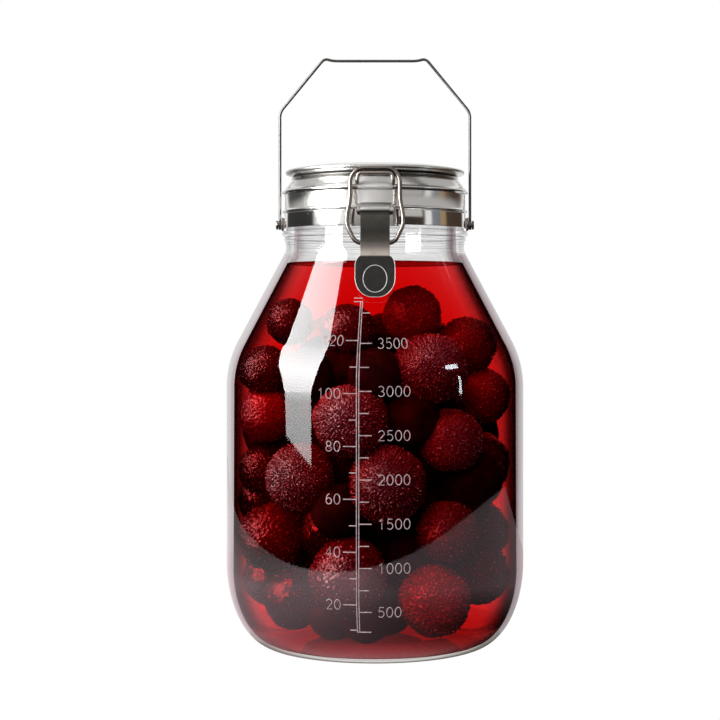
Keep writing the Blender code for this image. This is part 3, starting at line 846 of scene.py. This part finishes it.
def middle_of(place):
    turn, distance, height = place[:3]
    return Vector((distance * math.sin(turn), -distance * math.cos(turn), height))


def clear_of(place, others):
    # Whether a deep fruit stays out of the outer ones, so that it doesn't show through their skin.
    return all((middle_of(place) - middle_of(other)).length > other[3] + 0.35 * place[3] for other in others)


def fruit_piece(name, places, kinds, seed, mat, group, *replaced):
    # Fruit of a few kinds, each turned, stretched a little and put in its place, as one mesh.
    draw = random.Random(seed)
    points = []
    faces = []
    values = {"grain": [], "tone": []}
    offset = 0
    for k, place in enumerate(places):
        kind_points, kind_faces, tips = kinds[k % len(kinds)]
        spin = Euler([draw.uniform(0, math.tau) for _ in range(3)]).to_matrix()
        stretch = Matrix.Diagonal([draw.uniform(0.94, 1.03) for _ in range(3)])
        shape = np.array(stretch @ spin) * place[3]
        points.append(kind_points @ shape.T + np.array(middle_of(place)))
        faces.append(kind_faces + offset)
        values["grain"].append(tips)
        # Each fruit's tone is painted light and shade: how brightly it is lit.
        values["tone"].append(np.full(len(kind_points), place[4]))
        offset += len(kind_points)
    mesh = new_mesh(name, np.concatenate(points).tolist(), np.concatenate(faces).tolist())
    for label, lists in values.items():
        mesh.attributes.new(label, "FLOAT", "POINT").data.foreach_set("value", np.concatenate(lists))
    mesh.shade_smooth()
    put(link(name, mesh, [mat]), group, "jar", "fruit_skin", *replaced)


def make_fruit(mat, deep):
    front = [(math.radians(turn), r * MM, z * MM, size * MM, tone) for turn, r, z, size, tone in FRONT_FRUIT]
    finest = [grain_sphere(7, 2500, seed, 0.06) for seed in (3, 4)]
    fine = [grain_sphere(6, 1600, seed, 0.055) for seed in (5, 6)]
    plain = [grain_sphere(5, 800, seed, 0.045) for seed in (7, 8)]
    smooth = [grain_sphere(4, 200, 9, 0.02)]
    near = [front[k] for k in NEAREST_FRUIT]
    rest = [place for k, place in enumerate(front) if k not in NEAREST_FRUIT]
    for k in range(0, len(near), 2):
        replaced = ("fruit_heap",) if k == 0 else ()
        fruit_piece(f"fruit_near_{k}", near[k:k + 2], finest, 11 + k, mat, fruit_group, *replaced)
    for name, places, kinds, seed in (
            ("fruit_low", rest[:8], fine, 21), ("fruit_sides", rest[8:12], fine, 31),
            ("fruit_edges", rest[12:], plain, 33), ("fruit_back", back_places(), plain, 32)):
        fruit_piece(name, places, kinds, seed, mat, fruit_group)
    fruit_piece("fruit_middle", inner_places(front), smooth, 34, deep, None)


# Marks on the glass

NUMERALS = {  # single strokes in a box 0.6 wide and 1 high
    "0": [bow(0.3, 0.5, 0.3, 0.5, 90, 450, 24)],
    "1": [[(0.12, 0.78), (0.34, 1), (0.34, 0)]],
    "2": [bow(0.3, 0.7, 0.28, 0.3, 165, -25) + [(0.02, 0), (0.6, 0)]],
    "3": [bow(0.27, 0.74, 0.26, 0.26, 150, -90) + bow(0.27, 0.25, 0.31, 0.25, 80, -150, 12)],
    "4": [[(0.44, 0), (0.44, 1), (0, 0.28), (0.6, 0.28)]],
    "5": [[(0.54, 1), (0.12, 1), (0.07, 0.56)] + bow(0.28, 0.32, 0.3, 0.32, 130, -140, 12)],
    "6": [bow(0.42, 0.55, 0.36, 0.45, 95, 180, 6) + bow(0.31, 0.3, 0.28, 0.3, 180, 540, 18)],
    "8": [bow(0.3, 0.76, 0.23, 0.24, -90, 270, 16), bow(0.3, 0.26, 0.29, 0.26, 90, 450, 18)],
}


def on_glass(turn, z, proud=0):
    r = radius_at(outer_wall(), z) + proud
    return Vector((r * math.sin(turn), -r * math.cos(turn), z))


def mark(start, end, z_start, z_end, pieces=6):
    # A straight mark, along the glass, between two turns and two heights.
    ends = ((start, z_start), (end, z_end))
    return [on_glass(*between(*ends, i / pieces), 0.02 * MM) for i in range(pieces + 1)]


def across(length):
    return length / BODY_R


def number_strokes(text, left_turn, z):
    chains = []
    for k, digit in enumerate(text):
        for stroke in NUMERALS[digit]:
            chains.append([on_glass(left_turn + across(k * NUMBER_PITCH + u * NUMBER_HEIGHT),
                                    z + (v - 0.5) * NUMBER_HEIGHT) for u, v in stroke])
    return chains


def make_scale(mat):
    line_half = across(0.65 * MM)
    left = SCALE_TURN - line_half
    right = SCALE_TURN + line_half
    ml_heights = [ML_FIRST_Z + ML_STEP * k for k in range(6)] + [ML_LAST_Z]
    ml_middles = [(a + b) / 2 for a, b in zip(ml_heights, ml_heights[1:])] + [ML_TOP_TICK_Z]
    oz_heights = [OZ_FIRST_Z + OZ_STEP * k for k in range(6)]
    oz_middles = [z - OZ_STEP / 2 for z in oz_heights]
    ends = (SCALE_TOP_Z, SCALE_TOP_Z + 1.9 * MM)
    ticks = []
    for heights, left_mm, right_mm in (
            (ml_heights, None, 6.9), (ml_middles, None, 5.4), (oz_heights, 7.2, None),
            (oz_middles, 4, None), (ends, 4.6, 0), ([SCALE_LOW_Z], 0, 6.5)):
        start = right if left_mm is None else left - across(left_mm * MM)
        end = left if right_mm is None else right + across(right_mm * MM)
        ticks += [mark(start, end, z, z) for z in heights]
    numbers = []
    for k, z in enumerate(ml_heights):
        numbers += number_strokes(str(500 * (k + 1)), ML_NUMBER_TURN, z)
    for k, z in enumerate(oz_heights):
        text = str(20 * (k + 1))
        width = (len(text) - 1) * NUMBER_PITCH + 2.8 * MM
        numbers += number_strokes(text, OZ_NUMBER_TURN - across(width), z)
    lines = [mark(turn, turn, SCALE_TOP_Z, SCALE_LOW_Z, 60) for turn in (left, right)]
    for name, chains, radius in (("scale_line", lines, 0.24), ("scale_ticks", ticks, 0.3),
                                 ("scale_numbers", numbers, 0.24)):
        put(curve_mesh(name, chains, radius * MM, mat, resolution=1), None, "jar", "clear_glass")


# Band, lid ring and lid

def make_band(steel, pale):
    low, high = BAND_Z
    inner = BAND_R - SHEET
    profile = [(inner, high)] + arc((BAND_R - BAND_EDGE, high - BAND_EDGE), BAND_EDGE, 90, 0, 4)
    profile += arc((BAND_R - BAND_EDGE, low + BAND_EDGE), BAND_EDGE, 0, -90, 4) + [(inner, low)]
    inner_side = len(profile) - 1
    band = turned("band", profile, [steel, pale], closed=True, slot_of=lambda k: int(k == inner_side))
    put_steel(band, "neck_band")


def make_ring(steel):
    # A cone on top, a bead below it, a straight side and a flared lower edge.
    inner = RING_R - SHEET
    flare = arc((RING_R + 0.35 * MM, RING_Z + 0.75 * MM), 0.7 * MM, 60, -90, 8)
    bead = arc((RING_BEAD_R - RING_BEAD_ROUND, RING_BEAD_Z), RING_BEAD_ROUND, 75, -75, 8)
    outside = [(CONE_TOP_R - 0.2 * MM, CONE_TOP_Z), (CONE_TOP_R, CONE_TOP_Z - 0.1 * MM),
               (49.9 * MM, 267.4 * MM), (51.9 * MM, 264.4 * MM)]
    outside += bead + [(RING_R, RING_BEAD_Z - 1.4 * MM), (RING_R, RING_Z + 2.2 * MM)] + flare
    inside = [(inner, RING_Z + 0.6 * MM), (inner, RING_BEAD_Z + 0.8 * MM),
              (CONE_TOP_R - 0.4 * MM, CONE_TOP_Z - 1.2 * MM)]
    ring = turned("ring", outside + inside, [steel], closed=True)
    put_steel(ring, "lid_ring")


def make_lid(steel):
    crown = [(0, LID_TOP_Z), (0.3 * LID_R, LID_TOP_Z), (0.62 * LID_R, LID_TOP_Z),
             (0.8 * LID_R, LID_TOP_Z - 0.25 * MM)]
    nose = arc((LID_R - LID_NOSE_ROUND, LID_NOSE_Z), LID_NOSE_ROUND, 70, -60, 8)
    under = [(CONE_TOP_R, LID_UNDER_Z), (PLUG_R, LID_UNDER_Z), (PLUG_R, PLUG_Z), (0, PLUG_Z)]
    put_steel(turned("lid", crown + nose + under, [steel]), "lid_disc", slot="satin_steel")


# Clip, handle and their fixings

def lever_rows():
    # Depth, height and half width of the lever, from its barrel down to the paddle's end.
    top = (LEVER_AXIS.y - BARREL_R + LEVER_SHEET / 2, LEVER_AXIS.z)
    rows = [(*between(top, LEVER_KNEE, i / (LEVER_STRAIGHT_ROWS - 1)), LEVER_HALF)
            for i in range(LEVER_STRAIGHT_ROWS)]
    length = LEVER_KNEE[1] - PADDLE_END[1]
    for angle in (20, 40, 60, 75, 90):
        turn = math.radians(angle)
        share = PADDLE_CORNER * (1 - math.cos(turn)) / length
        rows.append((*between(LEVER_KNEE, PADDLE_END, share),
                     LEVER_HALF + (PADDLE_HALF - LEVER_HALF) * math.sin(turn)))
    for angle in (0, 12, 24, 36, 48, 58, 68, 77, 86):
        turn = math.radians(angle)
        share = 1 - PADDLE_ROUND * (1 - math.sin(turn)) / length
        rows.append((*between(LEVER_KNEE, PADDLE_END, share),
                     PADDLE_FLAT + (PADDLE_HALF - PADDLE_FLAT) * math.cos(turn)))
    return rows


def make_lever(dark, rim):
    columns = [j / 8 - 1 for j in range(17)]
    rows = [[(half * share, y, z) for share in columns] for y, z, half in lever_rows()]
    lever = solidify(grid("lever", rows, [dark, rim]), LEVER_SHEET, 0, even=True)
    combine(lever, rod("barrel", BARREL_R, -LEVER_HALF, LEVER_HALF, *LEVER_AXIS.yz, dark), "UNION")
    for side in (-1, 1):
        start, end = (side * x for x in LEVER_EAR_X)
        ear = rod(f"ear_{side}", LOOP_WIRE_R + GAP + 1.4 * MM, start, end, *LOOP_AXIS.yz, dark)
        combine(lever, ear, "UNION")
    for radius, axis in ((LEVER_BORE_R, LEVER_AXIS), (LOOP_WIRE_R + GAP, LOOP_AXIS)):
        combine(lever, rod("bore", radius, -12 * MM, 12 * MM, *axis.yz, dark), "DIFFERENCE")
    # The bevelled edges take the rim material, a painted highlight.
    put_steel(freeze(bevel(lever, 0.42 * MM, 2, slot=1)), "clip_lever", body="lever", slot="dark_steel")


def make_paddle_lines(rim):
    # The paddle's front edge and the plain ring line on it, as thin wires with a painted highlight.
    edge = [Vector((half, y - LEVER_SHEET / 2, z)) for y, z, half in lever_rows()[LEVER_STRAIGHT_ROWS:]]
    put_steel(curve_mesh("lever_edge", [both_sides(edge)], 0.16 * MM, rim, resolution=2), body="lever")
    circle = []
    for i in range(48):
        turn = math.tau * i / 48
        z = PADDLE_RING_Z + PADDLE_RING[1] * math.sin(turn)
        y, _ = between(LEVER_KNEE, PADDLE_END, (LEVER_KNEE[1] - z) / (LEVER_KNEE[1] - PADDLE_END[1]))
        circle.append(Vector((PADDLE_RING[0] * math.cos(turn), y - LEVER_SHEET / 2, z)))
    put_steel(curve_mesh("lever_ring", [circle], 0.2 * MM, rim, cyclic=True, resolution=2), body="lever")


def make_loop(steel):
    side = []
    for x, z in LOOP_SIDE_MM:
        share = (z * MM - LOOP_AXIS.z) / (LOOP_BAR[1] - LOOP_AXIS.z)
        y, _ = between(LOOP_AXIS.yz, LOOP_BAR, share)
        side.append(Vector((x * MM, y, z * MM)))
    path = rounded(both_sides(side), 3.6 * MM, 8, cyclic=True)
    wire = curve_mesh("loop", [path], LOOP_WIRE_R, steel, cyclic=True, resolution=4)
    put_steel(wire, "clip_loop", body="loop")


def make_tongue(steel):
    # The hook's sheet, which follows the ring's profile.
    profile = [(RING_R + 0.5 * MM, RING_Z + 3 * MM), (RING_R + 0.5 * MM, RING_BEAD_Z - 1.5 * MM),
               (RING_BEAD_R + 0.45 * MM, RING_BEAD_Z - 0.7 * MM), (RING_BEAD_R + 0.6 * MM, RING_BEAD_Z),
               (RING_BEAD_R + 0.45 * MM, RING_BEAD_Z + 0.7 * MM), (52.6 * MM, 264.6 * MM),
               (50.4 * MM, 267.4 * MM)]
    half = math.asin(TONGUE_HALF / RING_BEAD_R)
    turns = [half * (j / 12 - 1) for j in range(25)]
    rows = [[(r * math.sin(turn), -r * math.cos(turn), z) for turn in turns] for r, z in profile]
    put_steel(freeze(solidify(grid("tongue", rows, [steel]), TONGUE_SHEET, 1)), "lid_hook")


def make_strap(steel):
    # The hook's wire, bent to an upturned U that the loop's bar lies on.
    wide, middle, narrow = STRAP_X
    lip_y = LOOP_BAR[0] - 0.2 * MM
    top = LOOP_BAR[1] - LOOP_WIRE_R - GAP - STRAP_R
    side = [Vector((wide, lip_y + 1.6 * MM, 263.6 * MM)), Vector((wide, lip_y, 265 * MM)),
            Vector((middle, lip_y, top - 1.2 * MM)), Vector((narrow, lip_y, top))]
    strap = curve_mesh("strap", [rounded(both_sides(side), 1.2 * MM, 6)], STRAP_R, steel, resolution=4)
    put_steel(strap, "lid_hook")


def make_handle(steel):
    corner_x, corner_z = HANDLE_CORNER
    left = [Vector((-x, 0, z)) for x, z in (
        (HANDLE_X, HANDLE_PIVOT_Z + EYE_R * 0.7), (HANDLE_X, HANDLE_BEND_Z), (corner_x, corner_z),
        (corner_x - 5 * MM, HANDLE_GRIP_Z))]
    bail = curve_mesh("bail", [rounded(both_sides(left), 3 * MM, 8)], HANDLE_WIRE_R, steel)
    for side in (-1, 1):
        inner = HANDLE_X - HANDLE_WIRE_R
        outer = HANDLE_X + HANDLE_WIRE_R
        eye = rod("eye", EYE_R, side * inner, side * outer, 0, HANDLE_PIVOT_Z, steel)
        bore = rod("eye_bore", RIVET_R + GAP, side * (inner - MM), side * (outer + MM), 0, HANDLE_PIVOT_Z,
                   steel)
        combine(bail, eye, "UNION")
        combine(bail, bore, "DIFFERENCE")
    put_steel(freeze(bail, 50), "handle", body="handle")


def make_rivet(side, steel):
    tag = "left" if side < 0 else "right"
    inner = BAND_R + GAP
    outer = HANDLE_X - HANDLE_WIRE_R - GAP
    bpy.ops.mesh.primitive_cube_add(size=1, location=(side * (inner + outer) / 2, 0, RIVET_PLATE_Z),
                                    scale=(outer - inner, *RIVET_PLATE))
    plate = bpy.context.object
    bpy.ops.object.transform_apply(location=False, rotation=False, scale=True)
    plate.name = "rivet_" + tag
    plate.data.materials.append(steel)
    bevel(plate, 0.3 * MM, 2)
    head_x = HANDLE_X + HANDLE_WIRE_R + GAP
    pin = rod("pin", RIVET_R, side * (BAND_R + MM), side * (head_x + 0.2 * MM), 0, HANDLE_PIVOT_Z, steel)
    head = rod("head", RIVET_HEAD_R, side * head_x, side * (head_x + 1.2 * MM), 0, HANDLE_PIVOT_Z, steel)
    combine(plate, pin, "UNION")
    combine(plate, bevel(head, 0.5 * MM, 3), "UNION")
    put_steel(freeze(plate), "handle_rivet_" + tag)


def finish_cad_nodes(steel, rubber):
    for name in ("hinge_lower", "hinge_upper", "hinge_pin", "clip_bracket", "gasket"):
        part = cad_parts[name]
        part.data.materials.clear()
        part.data.materials.append(rubber if name == "gasket" else steel)
        if name != "gasket":
            metal_group.objects.link(part)


# Studio

def hide_but_mirrored(obj, group=None):
    for ray in ("camera", "diffuse", "transmission", "shadow"):
        setattr(obj, "visible_" + ray, False)
    if group:
        obj.light_linking.receiver_collection = group


def round_jar(degrees, distance, z):
    # A point round the jar; degrees are from the camera's side, plus to the right.
    turn = math.radians(degrees)
    return Vector((distance * math.sin(turn), -distance * math.cos(turn), z))


def make_floor(name, mat, z, group):
    # The table is white in the picture. Its mirror image lies over the bottom of the jar.
    x = TABLE_MIDDLE[0]
    outline = arc(TABLE_MIDDLE, TABLE_R, 180, 360, 96)
    outline += [(x + TABLE_R, TABLE_BACK_Y), (0, TABLE_BACK_Y), (0, TABLE_STRIP_Y),
                (x - TABLE_R, TABLE_STRIP_Y)]
    verts = [(*point, z) for point in outline]
    hide_but_mirrored(link(name, new_mesh(name, verts, [tuple(range(len(verts)))]), [mat]), group)


def screen_material():
    # Studio screens round the jar, as the steel mirrors them, paler high up.
    mat, tree = new_material("screens")
    x, y, z = axes(tree)
    high = ramp(tree, math_node(tree, "MULTIPLY", z, 0.5), [(0.28, 0), (0.44, 1)])
    return glowing(mat, mix_colour(tree, high, by_turn(tree, x, y, SCREEN_TONES), (0.5, 0.49, 0.48)), 1)


def make_screens(mat):
    turns = range(-SCREEN_EDGE - 1, SCREEN_EDGE, 2)
    rows = [[round_jar(turn, SCREEN_R, z) for turn in turns] for z in SCREEN_Z]
    hide_but_mirrored(grid("screens", rows, [mat]), metal_group)


def card_material():
    # A tall window that is brightest at about a quarter of its height.
    mat, tree = new_material("window_card")
    share = math_node(tree, "DIVIDE", axes(tree)[2], WINDOW_TOP_Z)
    level = ramp(tree, share, [(0, 0.4), (0.055, 0.55), (0.065, 1.15), (0.17, 1.4), (0.24, 1.5),
                               (0.5, 1.15), (0.72, 0.8), (1, 0.58)])
    return glowing(mat, 1, math_node(tree, "MULTIPLY", level, WINDOW_RADIANCE))


def make_window(mat):
    columns = 12
    rows = []
    for i, (z, near, far) in enumerate(WINDOW_ROWS):
        slant = WINDOW_SILL_RISE if i == 0 else 0
        rows.append([round_jar(near + (far - near) * j / columns, 1, z + slant * j / columns)
                     for j in range(columns + 1)])
    hide_but_mirrored(grid("window", rows, [mat]))


def area_light(name, degrees, distance, heights, width, power_density, colour=(1, 1, 1), group=None,
               diffuse=False):
    # A soft box round the jar. One that lights matt things leans towards the jar, and the others stand
    # upright and are only mirrored.
    low, high = heights
    light = bpy.data.lights.new(name, "AREA")
    light.shape = "RECTANGLE"
    light.size = width
    light.size_y = high - low
    light.energy = power_density * width * light.size_y * math.pi
    light.color = colour
    obj = link(name, light, [])
    obj.location = round_jar(degrees, distance, (low + high) / 2)
    drop = JAR_MIDDLE_Z - obj.location.z if diffuse else 0
    inward = Vector((-obj.location.x, -obj.location.y, drop))
    obj.rotation_euler = inward.to_track_quat("-Z", "Y").to_euler()
    obj.visible_camera = False
    obj.visible_transmission = False
    obj.visible_diffuse = diffuse
    obj.visible_glossy = group is not None
    obj.light_linking.receiver_collection = group


def make_lights():
    bluish = (0.85, 0.93, 1)
    area_light("glint_upper", 61, 1, (0.49, 0.57), 0.19, 12, bluish, glass_group)
    area_light("glint_lower", 65, 1, (0.115, 0.36), 0.035, 11, bluish, glass_group)
    area_light("streak", 104, 1, (0.9, 1.5), 0.1, 1.1, (1, 0.75, 0.77), glass_group)
    area_light("ring_card", -2, 1, (0.314, 0.5), 0.9, 0.8, (1, 0.97, 0.96), metal_group)
    area_light("ring_card_right", 43, 1, (0.316, 0.5), 0.62, 0.5, (1, 0.98, 0.96), metal_group)
    area_light("key", -38, 0.8, (1.05, 1.5), 0.5, 19, group=fruit_group, diffuse=True)
    area_light("left", -100, 1, (0.2, 0.8), 0.5, 4, group=fruit_group, diffuse=True)
    area_light("front", -15, 1.3, (0.35, 1.25), 1.1, 3.4, diffuse=True)


def make_world():
    # The backdrop is white. Reflections see a studio with dark screens to the sides of the camera.
    world = bpy.data.worlds.new("studio")
    bpy.context.scene.world = world
    world.use_nodes = True
    tree = world.node_tree
    tree.nodes.clear()
    x, y, z = node(tree, "SeparateXYZ", Vector=node(tree, "TexCoord").outputs["Generated"]).outputs
    overhead = ramp(tree, z, [(0.86, 0), (0.95, 1)])
    colour = mix_colour(tree, overhead, by_turn(tree, x, y, WORLD_TONES), 0.85)
    path = node(tree, "LightPath").outputs
    dim = math_node(tree, "MULTIPLY_ADD", path["Is Diffuse Ray"], -0.85, 1)
    studio = node(tree, "Background", Color=colour, Strength=dim)
    backdrop = node(tree, "Background", Color=1, Strength=1)
    seen = mix_shader(tree, path["Is Camera Ray"], studio, backdrop)
    node(tree, "OutputWorld", Surface=seen.outputs[0])


def make_camera():
    data = bpy.data.cameras.new("camera")
    data.sensor_width = SENSOR_MM
    data.lens = SENSOR_MM * FOCAL_PIXELS / FRAME_PIXELS
    data.shift_x = (FRAME_PIXELS / 2 - AXIS_PIXEL) / FRAME_PIXELS
    data.shift_y = (EYE_PIXEL - FRAME_PIXELS / 2) / FRAME_PIXELS
    data.clip_start = 0.01
    camera = link("camera", data, [])
    camera.location = (0, -EYE_BACK, EYE_Z)
    camera.rotation_euler = (math.pi / 2, 0, 0)
    bpy.context.scene.camera = camera
    bpy.context.scene.view_settings.view_transform = "Standard"


def make_studio():
    make_camera()
    make_world()
    make_lights()
    make_window(card_material())
    make_floor("floor", floor_material(), -0.5 * MM, glass_group)
    grey = glowing(new_material("grey_floor")[0], (0.75, 0.74, 0.73), 1)
    make_floor("floor_for_steel", grey, -1.5 * MM, metal_group)
    make_screens(screen_material())


def make_jar():
    steel = steel_material("polished_steel", (0.8, 0.79, 0.77), 0.09)
    wire = wire_material("wire_steel", (0.33, 0.29, 0.26), 0.14)
    # The rim material is a painted highlight: pale and glowing.
    rim = patchy("rim_painted_highlight", (150, 2, 0.45, 0.85), 0.35, Metallic=0.3, Roughness=0.35)
    make_glass(glass_materials())
    side = liquor_material("liquor", [
        (0, 1), (0.46, (0.99, 0.97, 0.97)), (0.58, (0.76, 0.62, 0.62)), (0.7, (0.38, 0.18, 0.19)),
        (0.82, (0.17, 0.05, 0.06)), (1, (0.3, 0.2, 0.21)),
    ])
    # Near the bottom the liquor's edges get less painted shade, so it looks bright from the side.
    foot = liquor_material("liquor_foot", [(0, 1), (0.7, (0.8, 0.6, 0.6)), (1, (0.4, 0.12, 0.12))])
    make_liquor(side, liquor_top_material(), foot)
    # Little light reaches the fruit in the middle, so their skin is painted near black as painted shade.
    dim = (90, 3, (0.012, 0.0003, 0.0006), (0.045, 0.001, 0.002), 0.35, 0.7)
    make_fruit(fruit_material(), patchy("deep_fruit", dim, Roughness=0.7, Specular_IOR_Level=0.1))
    # The raised marks scatter light and look milky; their glow is painted light.
    milky = (500, 2, (0.42, 0.3, 0.32), (0.72, 0.6, 0.62))
    make_scale(patchy("scale_mark", milky, 0.42, Roughness=0.25, Alpha=0.78))
    # The band's inner side mirrors the bright backdrop, drawn as a painted reflection: pale and glowing.
    make_band(steel, patchy("band_painted_reflection", (40, 3, 0.7, 0.95), 0.75, Roughness=0.5))
    make_ring(steel_material("ring_steel", (0.8, 0.79, 0.77), 0.2))
    make_lid(steel_material("satin_steel", (0.74, 0.73, 0.71), 0.3, grain=0.35))
    make_lever(lever_material(), rim)
    make_paddle_lines(rim)
    make_loop(wire)
    make_tongue(steel_material("brushed_steel", (0.84, 0.83, 0.82), 0.42))
    make_strap(wire_material("tan_steel", (0.5, 0.44, 0.39), 0.3))
    make_handle(wire_material("handle_steel", (0.17, 0.16, 0.155), 0.3))
    for hand in (-1, 1):
        make_rivet(hand, wire)
    finish_cad_nodes(steel, patchy("rubber", (300, 3, 0.02, 0.045), Roughness=0.6))


make_studio()
make_jar()
